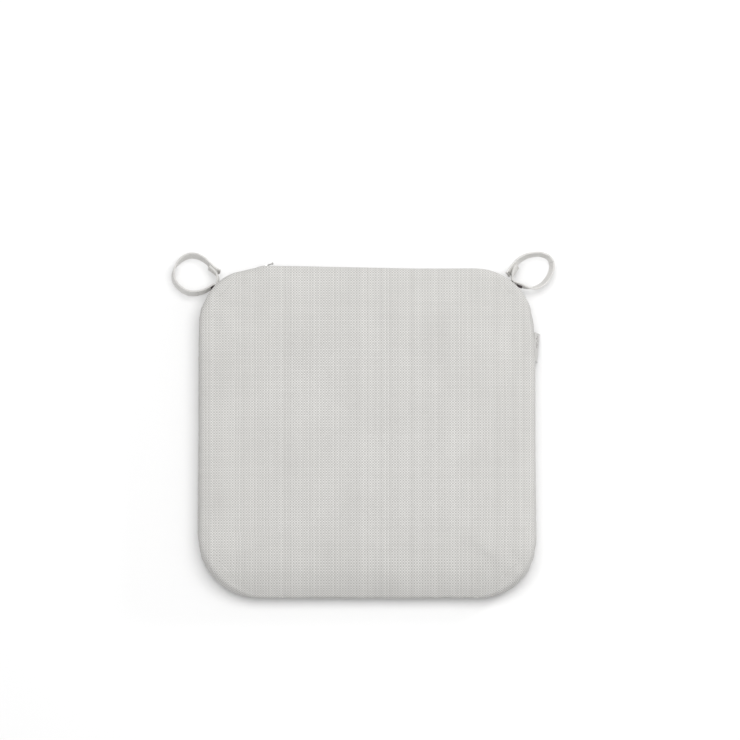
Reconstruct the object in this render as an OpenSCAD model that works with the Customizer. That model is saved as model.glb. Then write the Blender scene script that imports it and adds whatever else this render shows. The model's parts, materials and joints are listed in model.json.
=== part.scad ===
// Chair seat pad: a zipped woven cover over a wadded foam core, with a hook-and-loop
// strap loop at each rear corner and a small label in the right side seam.
// Origin: centre of the flat underside. +Z up, +X to the sitter's right hand seen from
// the front, front edge towards -Y.

/* [Pad] */
// Width across the sides
pad_w = 400; // [340:1:520]
// Depth from the front edge to the rear edge
pad_d = 396; // [340:1:520]
// Thickness where the top is flat
pad_t = 40; // [34:1:60]
// Radius of the corners seen from above
corner_r = 72; // [55:1:95]
// Radius of the upper edge at the sides and the rear
top_edge_r = 6; // [3:0.5:8]
// Radius of the lower edge all round
bottom_edge_r = 6; // [3:0.5:7]
// Length over which the top rolls down to the front edge
front_roll_l = 55; // [30:1:80]
// Height of the front edge above the seam
front_lip = 1; // [0.5:0.5:4]
// Height of the seam between the two cover panels
seam_h = 17; // [14:0.5:19]

/* [Layers] */
// Thickness of the woven cover fabric
fabric_t = 1.2; // [0.8:0.1:1.6]
// Thickness of the liner bag
liner_t = 0.4; // [0.2:0.1:0.8]
// Thickness of each sheet of wadding
wadding_t = 5; // [2:0.5:7]
// Clearance between one layer and the next
layer_gap = 0.2; // [0.1:0.1:0.3]
// Height of the overlock thread on the raw edge of the seam
overlock_h = 0.8; // [0.5:0.1:1]

/* [Zip] */
// Length of the zip opening
zip_l = 250; // [120:1:260]
// Height of the opening between the two cover panels, or more if the slider needs it
zip_slot_h = 8.4; // [8.4:0.1:10]
// Diameter of each coil of the zip
coil_d = 2.2; // [1.8:0.1:2.4]
// Space between the two coils
coil_gap = 1; // [0.9:0.1:1.2]
// Thickness of the zip tape
tape_t = 0.6; // [0.4:0.1:0.8]
// Length of the slider body
slider_l = 9; // [7:0.5:12]
// Thickness of the slider plates
slider_plate_t = 1.2; // [0.8:0.1:1.4]
// Length of the end stops
stop_l = 2; // [1.5:0.5:3]
// Length of the pull from its pin to its bead
pull_l = 9; // [7:0.5:25]
// Angle at which the pull stands off the zip
pull_rest = 18; // [12:1:40]

/* [Straps] */
// Width of the straps and tabs
strap_w = 12; // [8:0.5:18]
// Thickness of the straps and tabs
strap_t = 2.4; // [1.6:0.1:3]
// Radius of the left loop, at the middle of the strap
left_loop_r = 22; // [18:0.5:26]
// Distance from the sewn root to the centre of the left loop
left_reach = 30.5; // [27:0.5:40]
// Direction of the left loop, from sideways towards the rear
left_heading = 31.5; // [25:0.5:55]
// Radius of the right loop, at the middle of the strap
right_loop_r = 21.3; // [18:0.1:23.5]
// Distance from the sewn root to the centre of the right loop
right_reach = 27; // [26.5:0.5:40]
// Direction of the right loop, from sideways towards the rear
right_heading = 51; // [30:0.5:55]
// Straight length at the free end of the strap
tail_l = 21; // [19:0.5:24]
// Length of the strap's end past the patches
tail_end = 3; // [2:0.5:5]
// Spacing of the strap's root and the tab's root along the corner
root_gap = 6; // [5:0.5:9]
// Length of the hook patch and of the loop patch
patch_l = 13; // [9:0.5:15]
// Thickness of the hook patch and of the loop patch
patch_t = 1; // [0.6:0.1:1.4]
// Space between the two patches when they are closed
closure_gap = 0.3; // [0.2:0.1:0.5]

/* [Label] */
// Length of the label along the seam
label_l = 35; // [20:1:50]
// Length by which the label hangs out of the seam
label_drop = 12; // [8:0.5:14]
// Thickness of the label
label_t = 0.8; // [0.4:0.1:1]
// Distance of the label's middle behind the middle of the pad
label_y = 105; // [0:1:110]

/* [Hidden] */
$fn = 96;

fabric_colour = [0.84, 0.835, 0.815];
lining_colour = [0.93, 0.93, 0.92];
foam_colour = [0.93, 0.90, 0.78];
tape_colour = [0.80, 0.795, 0.775];
metal_colour = [0.72, 0.72, 0.72];
thread_colour = [0.88, 0.875, 0.86];
patch_colour = [0.80, 0.795, 0.775];
tack_colour = [0.25, 0.20, 0.22];

big = 2 * (pad_w + pad_d);              // larger than the whole pad

// front roll: a curve that leaves the flat top and comes down to the front edge
roll_drop = pad_t - seam_h - front_lip;
roll_r = (front_roll_l * front_roll_l + roll_drop * roll_drop) / (2 * roll_drop);
roll_y = -pad_d / 2 + front_roll_l;

// filling: it keeps inside the curved edges of the cover
edge_r = max(top_edge_r, bottom_edge_r);
fill_inset = edge_r + layer_gap;
liner_z = fabric_t + layer_gap;
inside_z = liner_z + liner_t + layer_gap;
foam_z = inside_z + wadding_t + layer_gap;

// seam: the allowance hangs inside the cover, down to where the lower edge curves
panel_gap = 0.2;
allowance_t = 2 * fabric_t;
allowance_inset = fabric_t + layer_gap;
allowance_low = bottom_edge_r + overlock_h;
allowance_high = seam_h - panel_gap / 2;
zip_clear = 4;                          // the allowance stops this far from the zip

// zip: tapes lie on the inside of the rear wall, coils stand in the opening
tape_front = pad_d / 2 - fabric_t - layer_gap;
tape_back = 0.5;                        // the tape's edge stands back this far from the coil's
tape_inner = coil_gap / 2 + tape_back;
tape_w = seam_h - bottom_edge_r - tape_inner - layer_gap;
tape_over = 3;                          // length of tape past the opening at each end
coil_y = tape_front + layer_gap / 2 + coil_d / 2;
coil_off = (coil_gap + coil_d) / 2;
end_clear = 0.5;                        // space past the end stops
coil_end = zip_l / 2 - end_clear;
stop_x = coil_end - stop_l;
slider_clear = 0.3;
slider_x = -stop_x + slider_clear;
plate_y = coil_y + coil_d / 2 + slider_clear;
flange_in = coil_off + coil_d / 2 + slider_clear;
flange_t = 0.9;
flange_y = tape_front + slider_clear;
slot_h = max(zip_slot_h, 2 * (flange_in + flange_t + slider_clear));
post_t = 0.7;
post_l = 2;
pin_r = 0.6;
pin_fit = 0.08;                         // running clearance of the pull's eye
eye_r = 1.5;
eye_h = 2.4;
ear_t = 0.8;
ear_clear = 0.15;
pin_back = 2.4;                         // the pin stands this far from the slider's end
pin_x = slider_x + pin_back;
pin_rise = 3.1;                         // the pin stands this far off the slider's plate
pin_y = plate_y + slider_plate_t + pin_rise;
bead_r = 1.1;
blade_t = 0.9;
blade_w = 3;

// straps: every length below is for the right rear corner, and the left is mirrored
wall_gap = 0.3;                         // space between the cover and a strap's root
corner_x = pad_w / 2 - corner_r;
corner_y = pad_d / 2 - corner_r;
root_out = corner_r + wall_gap + strap_t / 2;
link_gap = 0.3;                         // space between two lengths of the strap
join = 0.5;                             // overlap where a straight run meets a curved one
first_bend = -75;                       // bends, measured from the loop's heading
second_bend = 15;
loop_turn = 98;                         // where the strap runs straight again
patch_w = strap_w - 2;
stitch_w = 0.5;
stitch_t = 0.3;
tack_start = 3;
tack_l = 3;
tack_h = 5;
tack_low = 0.5;                         // height of the tack above the strap's lower edge
tack_t = 0.5;

// label: it hangs out of the side seam, this far from level
label_tilt = 70;
label_off = 1;                          // space between the cover and the label's fold

// [radius, reach, heading] of each loop
LEFT = [left_loop_r, left_reach, left_heading];
RIGHT = [right_loop_r, right_reach, right_heading];

function polar(r, a) = [r * cos(a), r * sin(a)];
function root_point(shift) =
    [corner_x, corner_y] + polar(root_out, 45 + shift / corner_r * 180 / PI);
function loop_centre(loop) = root_point(0) + polar(loop[1], loop[2]);
function start_heading(loop) = loop[2] - asin(loop[0] / loop[1]);
function end_angle(loop) = loop[2] + loop_turn;
function end_heading(loop) = end_angle(loop) + 90;
// a point on the straight end of the strap, offset towards the inside of the loop
function tail_point(loop, along, inward) =
    loop_centre(loop) + polar(loop[0] - inward, end_angle(loop))
    + polar(along, end_heading(loop));

// ---- the pad ----

// outline of the pad, drawn in by an inset
module outline(inset) {
    w = pad_w - 2 * inset;
    d = pad_d - 2 * inset;
    square([w - 2 * (corner_r - inset), d], center = true);
    square([w, d - 2 * (corner_r - inset)], center = true);
    for (sx = [-1, 1], sy = [-1, 1])
        translate([sx * corner_x, sy * corner_y]) circle(corner_r - inset);
}

// half of the pad's upright section: half width, heights, and its two edge radii
module half_section(half_w, low, high, lower_r, upper_r) {
    translate([0, low + lower_r]) square([half_w, high - low - lower_r - upper_r]);
    translate([0, low]) square([half_w - lower_r, lower_r]);
    translate([0, high - upper_r]) square([half_w - upper_r, upper_r]);
    translate([half_w - lower_r, low + lower_r]) circle(lower_r);
    translate([half_w - upper_r, high - upper_r]) circle(upper_r);
}

module full_section(half_w, low, high, lower_r, upper_r) {
    for (side = [0, 1])
        mirror([side, 0]) half_section(half_w, low, high, lower_r, upper_r);
}

// the pad's block with rounded edges, drawn in by an inset on every side
module rounded_block(inset) {
    low = inset;
    high = pad_t - inset;
    lower_r = bottom_edge_r - inset;
    upper_r = top_edge_r - inset;
    for (sx = [-1, 1], sy = [-1, 1])
        translate([sx * corner_x, sy * corner_y])
            rotate_extrude() half_section(corner_r - inset, low, high, lower_r, upper_r);
    rotate([90, 0, 0])
        linear_extrude(2 * corner_y, center = true)
            full_section(pad_w / 2 - inset, low, high, lower_r, upper_r);
    rotate([90, 0, 90])
        linear_extrude(2 * corner_x, center = true)
            full_section(pad_d / 2 - inset, low, high, lower_r, upper_r);
}

// everything under the top surface, lowered by a depth, with the front roll
module under_top(depth) {
    rotate([90, 0, 90])
        linear_extrude(big, center = true) {
            translate([roll_y, -big]) square([big, big + pad_t - depth]);
            translate([roll_y, pad_t - roll_r]) circle(roll_r - depth, $fn = 180);
        }
}

module pad_block(inset) {
    intersection() {
        rounded_block(inset);
        under_top(inset);
    }
}

// a level layer of the filling between two heights, under a lowered top surface
module filling(inset, low, high, depth) {
    intersection() {
        translate([0, 0, low]) linear_extrude(high - low) outline(inset);
        under_top(depth);
    }
}

module cover_shell() {
    difference() {
        pad_block(0);
        pad_block(fabric_t);
        translate([0, pad_d / 2, seam_h])
            cube([zip_l, 2 * edge_r, slot_h], center = true);
    }
}

module top_cover() {
    color(fabric_colour)
        intersection() {
            cover_shell();
            translate([0, 0, seam_h + panel_gap / 2 + big / 2]) cube(big, center = true);
        }
}

module bottom_cover() {
    color(fabric_colour)
        intersection() {
            cover_shell();
            translate([0, 0, seam_h - panel_gap / 2 - big / 2]) cube(big, center = true);
        }
}

// an upright band inside the cover, open where the zip is
module inner_band(low, high) {
    difference() {
        translate([0, 0, low])
            linear_extrude(high - low)
                difference() {
                    outline(allowance_inset);
                    outline(allowance_inset + allowance_t);
                }
        translate([0, pad_d / 2, seam_h])
            cube([zip_l + 2 * zip_clear, 6 * edge_r, big], center = true);
    }
}

module seam_allowance() {
    color(fabric_colour) inner_band(allowance_low, allowance_high);
}

module overlock_thread() {
    color(thread_colour) inner_band(bottom_edge_r, allowance_low);
}

module inner_liner() {
    color(lining_colour)
        difference() {
            filling(fill_inset, liner_z, pad_t, liner_z);
            filling(fill_inset + liner_t, liner_z + liner_t, pad_t, liner_z + liner_t);
        }
}

module wadding_top() {
    inset = fill_inset + liner_t + layer_gap;
    color(lining_colour)
        difference() {
            filling(inset, foam_z, pad_t, inside_z);
            filling(0, 0, pad_t, inside_z + wadding_t);
        }
}

module wadding_bottom() {
    inset = fill_inset + liner_t + layer_gap;
    color(lining_colour) filling(inset, inside_z, inside_z + wadding_t, inside_z);
}

module foam_core() {
    inset = fill_inset + liner_t + layer_gap;
    color(foam_colour) filling(inset, foam_z, pad_t, foam_z);
}

// ---- the zip ----

// a bar along the zip, from one x to another
module zip_bar(from_x, to_x, low_y, high_y, low_z, high_z) {
    translate([from_x, low_y, seam_h + low_z])
        cube([to_x - from_x, high_y - low_y, high_z - low_z]);
}

module zip_tape(side) {
    end = zip_l / 2 + tape_over;
    low = side > 0 ? tape_inner : -tape_inner - tape_w;
    color(tape_colour)
        zip_bar(-end, end, tape_front - tape_t, tape_front, low, low + tape_w);
}

module zip_coil(side) {
    color(tape_colour)
        translate([0, coil_y, seam_h + side * coil_off])
            rotate([0, 90, 0])
                cylinder(h = 2 * (stop_x - slider_clear), d = coil_d, center = true, $fn = 32);
}

module zip_end_stops() {
    reach = coil_off + coil_d / 2;
    color(metal_colour)
        for (side = [-1, 1])
            zip_bar(side * stop_x - (side < 0 ? stop_l : 0),
                    side * stop_x + (side < 0 ? 0 : stop_l),
                    tape_front + layer_gap / 2, coil_y + coil_d / 2, -reach, reach);
}

module zip_slider() {
    half_h = flange_in + flange_t;
    end = slider_x + slider_l;
    back_y = tape_front - tape_t - slider_clear;
    ear_z = eye_h / 2 + ear_clear;
    color(metal_colour)
        union() {
            zip_bar(slider_x, end, plate_y, plate_y + slider_plate_t, -half_h, half_h);
            zip_bar(slider_x, end, back_y - slider_plate_t, back_y, -half_h, half_h);
            zip_bar(slider_x, slider_x + post_l, back_y, plate_y, -post_t / 2, post_t / 2);
            for (side = [-1, 1]) {
                z = side > 0 ? flange_in : -half_h;
                zip_bar(slider_x, end, flange_y, plate_y, z, z + flange_t);
                // ear that holds the pull's pin
                ear = side > 0 ? ear_z : -ear_z - ear_t;
                zip_bar(pin_x - eye_r, pin_x + eye_r, plate_y + slider_plate_t, pin_y,
                        ear, ear + ear_t);
                translate([pin_x, pin_y, seam_h + ear])
                    cylinder(h = ear_t, r = eye_r, $fn = 32);
            }
            translate([pin_x, pin_y, seam_h])
                cylinder(h = 2 * ear_z, r = pin_r, center = true, $fn = 32);
        }
}

module zip_pull() {
    color(metal_colour)
        translate([pin_x, pin_y, seam_h])
            rotate([0, 0, pull_rest])
                difference() {
                    union() {
                        cylinder(h = eye_h, r = eye_r, center = true, $fn = 32);
                        translate([(pull_l - bead_r) / 2, 0, 0])
                            cube([pull_l - bead_r, blade_t, eye_h], center = true);
                        translate([(pull_l + eye_r) / 2, 0, 0])
                            cube([pull_l - 2 * bead_r - eye_r, blade_t, blade_w], center = true);
                        translate([pull_l - bead_r, 0, 0])
                            cylinder(h = blade_w, r = bead_r, center = true, $fn = 32);
                    }
                    cylinder(h = big, r = pin_r + pin_fit, center = true, $fn = 32);
                }
}

// ---- the straps ----

// a straight run of strap seen from above, with the given thickness and end rounding
module run(from, to, thick) {
    along = to - from;
    translate(from)
        rotate(atan2(along[1], along[0]))
            translate([0, -thick / 2]) square([norm(along), thick]);
}

// a curved run of the loop seen from above, between two angles
module bend(loop, from, to) {
    r = loop[0];
    middle = (from + to) / 2;
    far = 2 * r;
    translate(loop_centre(loop))
        intersection() {
            difference() {
                circle(r + strap_t / 2);
                circle(r - strap_t / 2);
            }
            polygon([[0, 0], polar(far, from), polar(far, middle), polar(far, to)]);
        }
}

// lifts a plan shape to a band standing on edge, centred on the strap's height
module band(w = strap_w) {
    translate([0, 0, seam_h - w / 2]) linear_extrude(w) children();
}

function gap_angle(loop) = link_gap / 2 / loop[0] * 180 / PI;

module strap_base(loop) {
    start = start_heading(loop) - 90;
    color(fabric_colour)
        band() {
            translate(root_point(0)) circle(strap_t / 2, $fn = 32);
            run(root_point(0), loop_centre(loop) + polar(loop[0], start)
                + polar(join, start_heading(loop)), strap_t);
            bend(loop, start, loop[2] + first_bend - gap_angle(loop));
        }
}

module strap_middle(loop) {
    color(fabric_colour)
        band()
            bend(loop, loop[2] + first_bend + gap_angle(loop),
                 loop[2] + second_bend - gap_angle(loop));
}

module strap_tail(loop) {
    color(fabric_colour)
        band() {
            bend(loop, loop[2] + second_bend + gap_angle(loop), end_angle(loop));
            run(tail_point(loop, -join, 0), tail_point(loop, tail_l, 0), strap_t);
        }
}

// offsets from the middle of the strap's end, towards the inside of the loop
hook_in = strap_t / 2 + patch_t / 2;
loop_in = hook_in + patch_t + closure_gap;
tab_in = loop_in + patch_t / 2 + strap_t / 2;
lap_end = tail_l - tail_end;
lap_start = lap_end - patch_l;

module hook_patch(loop) {
    color(patch_colour)
        band(patch_w)
            run(tail_point(loop, lap_start, hook_in), tail_point(loop, lap_end, hook_in),
                patch_t);
}

module loop_patch(loop) {
    color(patch_colour)
        band(patch_w)
            run(tail_point(loop, lap_start, loop_in), tail_point(loop, lap_end, loop_in),
                patch_t);
}

module tab(loop) {
    elbow = tail_point(loop, lap_end, tab_in);
    color(fabric_colour)
        band() {
            translate(root_point(root_gap)) circle(strap_t / 2, $fn = 32);
            run(root_point(root_gap), elbow, strap_t);
            translate(elbow) circle(strap_t / 2, $fn = 32);
            run(elbow, tail_point(loop, lap_start, tab_in), strap_t);
        }
}

// a rectangular row of stitches round a patch, on the face away from it
module stitch_frame(loop, inward) {
    inset = 1;
    color(thread_colour)
        difference() {
            band(patch_w - 2 * inset)
                run(tail_point(loop, lap_start + inset, inward),
                    tail_point(loop, lap_end - inset, inward), stitch_t);
            band(patch_w - 2 * inset - 2 * stitch_w)
                run(tail_point(loop, lap_start + inset + stitch_w, inward),
                    tail_point(loop, lap_end - inset - stitch_w, inward), 3 * stitch_t);
        }
}

module hook_stitching(loop) {
    stitch_frame(loop, -strap_t / 2 - stitch_t / 2);
}

module loop_stitching(loop) {
    stitch_frame(loop, tab_in + strap_t / 2 + stitch_t / 2);
}

// bar tack on the lower half of the strap's outer face, near the sewn root
module root_tack(loop) {
    heading = start_heading(loop);
    away = polar(strap_t / 2 + tack_t / 2, heading - 90);
    from = root_point(0) + polar(tack_start, heading) + away;
    color(tack_colour)
        translate([0, 0, seam_h - strap_w / 2 + tack_low])
            linear_extrude(tack_h) run(from, from + polar(tack_l, heading), tack_t);
}

module side_label() {
    color(thread_colour)
        translate([pad_w / 2 + label_off, label_y, seam_h])
            rotate([90, 0, 0])
                linear_extrude(label_l, center = true)
                    rotate(-label_tilt) {
                        circle(label_t / 2, $fn = 32);
                        translate([0, -label_t / 2]) square([label_drop, label_t]);
                    }
}

top_cover();
bottom_cover();
seam_allowance();
overlock_thread();
inner_liner();
wadding_top();
wadding_bottom();
foam_core();
zip_tape(1);  // zip_tape_upper
zip_tape(-1);  // zip_tape_lower
zip_coil(1);  // zip_coil_upper
zip_coil(-1);  // zip_coil_lower
zip_end_stops();
zip_slider();
zip_pull();
side_label();

mirror([1, 0, 0]) strap_base(LEFT);  // left_strap_base
mirror([1, 0, 0]) strap_middle(LEFT);  // left_strap_middle
mirror([1, 0, 0]) strap_tail(LEFT);  // left_strap_tail
mirror([1, 0, 0]) hook_patch(LEFT);  // left_hook_patch
mirror([1, 0, 0]) tab(LEFT);  // left_tab
mirror([1, 0, 0]) loop_patch(LEFT);  // left_loop_patch
mirror([1, 0, 0]) root_tack(LEFT);  // left_root_tack
mirror([1, 0, 0]) hook_stitching(LEFT);  // left_hook_stitching
mirror([1, 0, 0]) loop_stitching(LEFT);  // left_loop_stitching

strap_base(RIGHT);  // right_strap_base
strap_middle(RIGHT);  // right_strap_middle
strap_tail(RIGHT);  // right_strap_tail
hook_patch(RIGHT);  // right_hook_patch
tab(RIGHT);  // right_tab
loop_patch(RIGHT);  // right_loop_patch
root_tack(RIGHT);  // right_root_tack
hook_stitching(RIGHT);  // right_hook_stitching
loop_stitching(RIGHT);  // right_loop_stitching
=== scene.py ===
import json
import math

import bpy
import numpy as np
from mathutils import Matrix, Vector, noise

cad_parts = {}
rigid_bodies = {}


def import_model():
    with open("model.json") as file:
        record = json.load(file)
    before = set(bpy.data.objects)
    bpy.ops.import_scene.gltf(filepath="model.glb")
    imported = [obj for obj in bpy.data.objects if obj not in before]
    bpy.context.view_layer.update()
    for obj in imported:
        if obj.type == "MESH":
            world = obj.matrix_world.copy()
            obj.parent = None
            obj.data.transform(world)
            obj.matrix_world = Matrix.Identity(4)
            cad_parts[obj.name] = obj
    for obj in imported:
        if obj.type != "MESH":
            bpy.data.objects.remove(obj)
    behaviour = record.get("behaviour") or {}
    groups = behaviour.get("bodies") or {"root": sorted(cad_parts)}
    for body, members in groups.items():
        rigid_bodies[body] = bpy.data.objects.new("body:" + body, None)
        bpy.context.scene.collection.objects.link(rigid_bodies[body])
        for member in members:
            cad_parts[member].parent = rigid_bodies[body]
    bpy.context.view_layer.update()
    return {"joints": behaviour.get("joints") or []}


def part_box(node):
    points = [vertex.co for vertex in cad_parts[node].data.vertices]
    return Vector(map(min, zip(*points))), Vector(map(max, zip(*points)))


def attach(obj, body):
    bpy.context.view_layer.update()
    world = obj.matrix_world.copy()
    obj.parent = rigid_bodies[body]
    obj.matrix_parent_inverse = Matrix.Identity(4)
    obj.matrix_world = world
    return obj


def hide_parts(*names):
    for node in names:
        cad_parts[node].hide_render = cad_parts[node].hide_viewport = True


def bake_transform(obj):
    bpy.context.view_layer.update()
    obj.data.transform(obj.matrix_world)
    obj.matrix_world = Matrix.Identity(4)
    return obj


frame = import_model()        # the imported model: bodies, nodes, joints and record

scene = bpy.context.scene

# ---- Studio -------------------------------------------------------------------------
# A pale floor, a broad softbox overhead, a key behind the right side and a dim fill.
# The camera stands in front of the pad and looks steeply down on it with a long lens.
camera_elevation = math.radians(79)
camera_distance = 20.0
camera_aim = Vector((0.0036, 0.0765, 0.020))
view_across = 0.8785
sensor_width = 36.0

camera_data = bpy.data.cameras.new("studio_camera")
camera_data.sensor_width = sensor_width
camera_data.lens = sensor_width * camera_distance / view_across
camera_data.clip_end = 50
camera = bpy.data.objects.new("studio_camera", camera_data)
camera_back = Vector((0, -math.cos(camera_elevation), math.sin(camera_elevation)))
camera.location = camera_aim + camera_back * camera_distance
camera.rotation_euler = camera_back.to_track_quat("Z", "Y").to_euler()
scene.collection.objects.link(camera)
scene.camera = camera
scene.view_settings.view_transform = "Standard"


def add_softbox(name, place, aim, size, watts, tint):
    light = bpy.data.lights.new(name, "AREA")
    light.shape = "SQUARE"
    light.size = size
    light.energy = watts
    light.color = tint
    box = bpy.data.objects.new(name, light)
    box.location = place
    box.rotation_euler = (Vector(place) - Vector(aim)).to_track_quat("Z", "Y").to_euler()
    scene.collection.objects.link(box)


add_softbox("overhead_softbox", (0.10, 0.34, 2.4), (0, 0, 0), 2.0, 43, (1.0, 1.0, 1.0))
add_softbox("rear_right_key", (1.9, 1.1, 0.75), (0, 0, 0), 0.4, 12, (1.0, 1.0, 1.0))

world = bpy.data.worlds.new("studio_fill")
world.use_nodes = True
world.node_tree.nodes["Background"].inputs["Color"].default_value = (1.0, 1.0, 1.0, 1.0)
world.node_tree.nodes["Background"].inputs["Strength"].default_value = 0.575
scene.world = world


def make_object(name, points, faces):
    mesh = bpy.data.meshes.new(name)
    mesh.from_pydata([tuple(p) for p in points], [], [tuple(f) for f in faces])
    mesh.update()
    made = bpy.data.objects.new(name, mesh)
    scene.collection.objects.link(made)
    return made


floor_reach = 6.0
floor_drop = 0.0003                             # just under the pad
floor_tone = 0.87
corners = [(-1, -1), (1, -1), (1, 1), (-1, 1)]
floor_points = [(x * floor_reach, y * floor_reach, -floor_drop) for x, y in corners]
floor = make_object("studio_floor", floor_points, [(0, 1, 2, 3)])
floor_paint = bpy.data.materials.new("pale floor")
floor_paint.use_nodes = True
floor_sockets = floor_paint.node_tree.nodes["Principled BSDF"].inputs
floor_sockets["Base Color"].default_value = (floor_tone, floor_tone, floor_tone, 1)
floor_sockets["Roughness"].default_value = 0.95
floor_sockets["Specular IOR Level"].default_value = 0.1
floor.data.materials.append(floor_paint)

# ---- Cover panels ---------------------------------------------------------------------
# Two panels of plain-woven outdoor fabric, cut to the pad's outline and seamed all round
# below mid-height. The top panel wraps over the edges, and the foam holds it flat and taut.
top_low, top_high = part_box("top_cover")
base_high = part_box("bottom_cover")[1]
stop_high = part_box("zip_end_stops")[1]
half_w = top_high.x
half_d = top_high.y
pad_h = top_high.z
seam_z = (top_low.z + base_high.z) / 2
zip_half = stop_high.x + 0.0005

corner_angles = (45, 135, 225, 315)
corner_radii = (0.072, 0.067, 0.073, 0.066)     # rear right, rear left, front left, front right
side_steps = 72
edge_r = 0.006
under_r = 0.008
roll_l = 0.055
roll_drop = pad_h - seam_z - 0.0028
roll_r = (roll_l ** 2 + roll_drop ** 2) / (2 * roll_drop)
crown_h = 0.0012
fabric_t = 0.0011
swell = 0.0002                                  # the walls start this much small, and swell
wall_rings = 9
under_rings = 8


def direction(degrees):
    return np.array([math.cos(math.radians(degrees)), math.sin(math.radians(degrees))])


def smooth(value):
    value = np.clip(value, 0, 1)
    return value * value * (3 - 2 * value)


def corner_centre(turn):
    radius = corner_radii[turn % 4]
    side = np.sign(direction(corner_angles[turn % 4]))
    return side * (np.array([half_w, half_d]) - radius), radius


def plan_outline():
    """Plan points and outward normals, side by side, from the rear right corner round."""
    points, normals = [], []
    for turn, angle in enumerate(corner_angles):
        first, first_r = corner_centre(turn)
        last, last_r = corner_centre(turn + 1)
        out = direction(angle + 45)
        from_point, to_point = first + first_r * out, last + last_r * out
        arc_a, arc_b = first_r * math.pi / 4, last_r * math.pi / 4
        straight = np.linalg.norm(to_point - from_point)
        for step in range(side_steps):
            along = (arc_a + straight + arc_b) * step / side_steps
            if along < arc_a:
                normal = direction(angle + math.degrees(along / first_r))
                point = first + first_r * normal
            elif along < arc_a + straight:
                normal = out
                point = from_point + (to_point - from_point) * (along - arc_a) / straight
            else:
                normal = direction(angle + 45 + math.degrees((along - arc_a - straight) / last_r))
                point = last + last_r * normal
            points.append(point)
            normals.append(normal)
    return np.array(points), np.array(normals)


def ease(x, y):
    """How far the cover stands out of a true rounded square: proud over the zip's closed
    end, drawn in beside it, and drawn in behind the label."""
    rear = smooth((y - half_d + 0.05) / 0.03)
    fades = np.clip(1 - (x + zip_half) / 0.18, 0, 1)
    proud = 0.0037 * smooth((x + zip_half + 0.010) / 0.010) * fades
    beside_zip = -0.0014 * np.exp(-((x + zip_half + 0.023) / 0.008) ** 2)
    beside_label = -0.0034 * np.exp(-((y - 0.135) / 0.019) ** 2) * smooth((x - 0.15) / 0.03)
    return rear * (proud + beside_zip + 0.0006) + beside_label


def top_height(x, y, inset):
    crown = crown_h * (1 - (x / half_w) ** 2) * (1 - (y / half_d) ** 2)
    ahead = max(-half_d + roll_l - y, 0.0)
    return pad_h - inset + crown - (roll_r - math.sqrt(max(roll_r ** 2 - ahead ** 2, 0)))


def spaced(path, steps):
    """A path's points again, in equal steps, and how far along each is."""
    path = np.array(path)
    along = np.concatenate([[0], np.cumsum(np.linalg.norm(np.diff(path, axis=0), axis=1))])
    at = np.linspace(0, along[-1], steps + 1)
    return np.stack([np.interp(at, along, path[:, k]) for k in (0, 1)], axis=1), at


def over_path(point, normal, inset, low, last_inset):
    """(inset, height) from the seam up the wall and over the edge on to the top."""
    def height(d):
        x, y = point - normal * d
        return max(top_height(x, y, inset), low + 0.0006)
    edge = height(inset)
    r = min(edge_r, (edge - low - 0.0002) * 0.8)
    turn = np.radians(np.arange(180, 89, -15))
    arc = [(inset + r + r * math.cos(a), height(inset + r) - r + r * math.sin(a)) for a in turn]
    flat = [(d, height(d)) for d in np.linspace(inset + r, last_inset, 5)[1:]]
    return [(inset - swell, low), (inset, low + min(0.003, (edge - r - low) / 2))] + arc + flat


def under_path(inset, high, last_inset):
    """(inset, depth) from the seam down the wall and round on to the underside."""
    tuck = inset + 0.0018
    turn = np.radians(np.arange(180, 271, 15))
    arc = [(tuck + under_r + under_r * math.cos(a), under_r + under_r * math.sin(a)) for a in turn]
    return [(inset - swell, high), (inset, high - 0.003)] + arc + [(last_inset, 0.0)]


def fill_grid(ring):
    """The points inside a ring of four sides, blended from the sides' own points."""
    n = side_steps
    rear, left, front = (ring[k * n:(k + 1) * n + 1] for k in range(3))
    right = np.vstack([ring[3 * n:], ring[:1]])
    rear, left = rear[::-1], left[::-1]
    share = np.linspace(0, 1, n + 1)
    u, v = share[:, None, None], share[None, :, None]
    across = (1 - v) * front[:, None] + v * rear[:, None]
    along = (1 - u) * left[None] + u * right[None]
    ends = ((1 - u) * (1 - v) * front[0] + u * (1 - v) * front[-1]
            + (1 - u) * v * rear[0] + u * v * rear[-1])
    return across + along - ends


def station(row, column):
    """The ring's own point number at the rim of the grid."""
    n = side_steps
    if column == n:
        return (n - row) % (4 * n)
    if row == 0:
        return 2 * n - column
    if column == 0:
        return 2 * n + row
    return 3 * n + column


class Panel:
    """Rings of points from a panel's edge inwards, closed by a grid inside the last ring."""

    def __init__(self, rings, upward):
        self.rings = [np.array(r) for r in rings]
        self.grid = fill_grid(self.rings[-1])
        self.upward = upward

    def points(self):
        return np.vstack(self.rings + [self.grid[1:-1, 1:-1].reshape(-1, self.grid.shape[2])])

    def faces(self, first=0):
        n = 4 * side_steps
        made = []
        for ring in range(len(self.rings) - 1):
            for i in range(n):
                a, b = first + ring * n + i, first + ring * n + (i + 1) % n
                made.append((a, b, b + n, a + n))
        inner = first + len(self.rings) * n
        rim = inner - n

        def number(row, column):
            if 0 < row < side_steps and 0 < column < side_steps:
                return inner + (row - 1) * (side_steps - 1) + column - 1
            return rim + station(row, column)

        for row in range(side_steps):
            for column in range(side_steps):
                made.append((number(row, column), number(row + 1, column),
                             number(row + 1, column + 1), number(row, column + 1)))
        return made if self.upward else [f[::-1] for f in made]


def in_space(outline, normals, insets, heights, proud):
    """Ring points in space from plan insets and heights, eased out by a share."""
    out = ease(outline[:, 0], outline[:, 1]) * proud
    plan = outline - normals * (insets - out)[:, None]
    return np.column_stack([plan, heights])


outline, normals = plan_outline()


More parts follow.
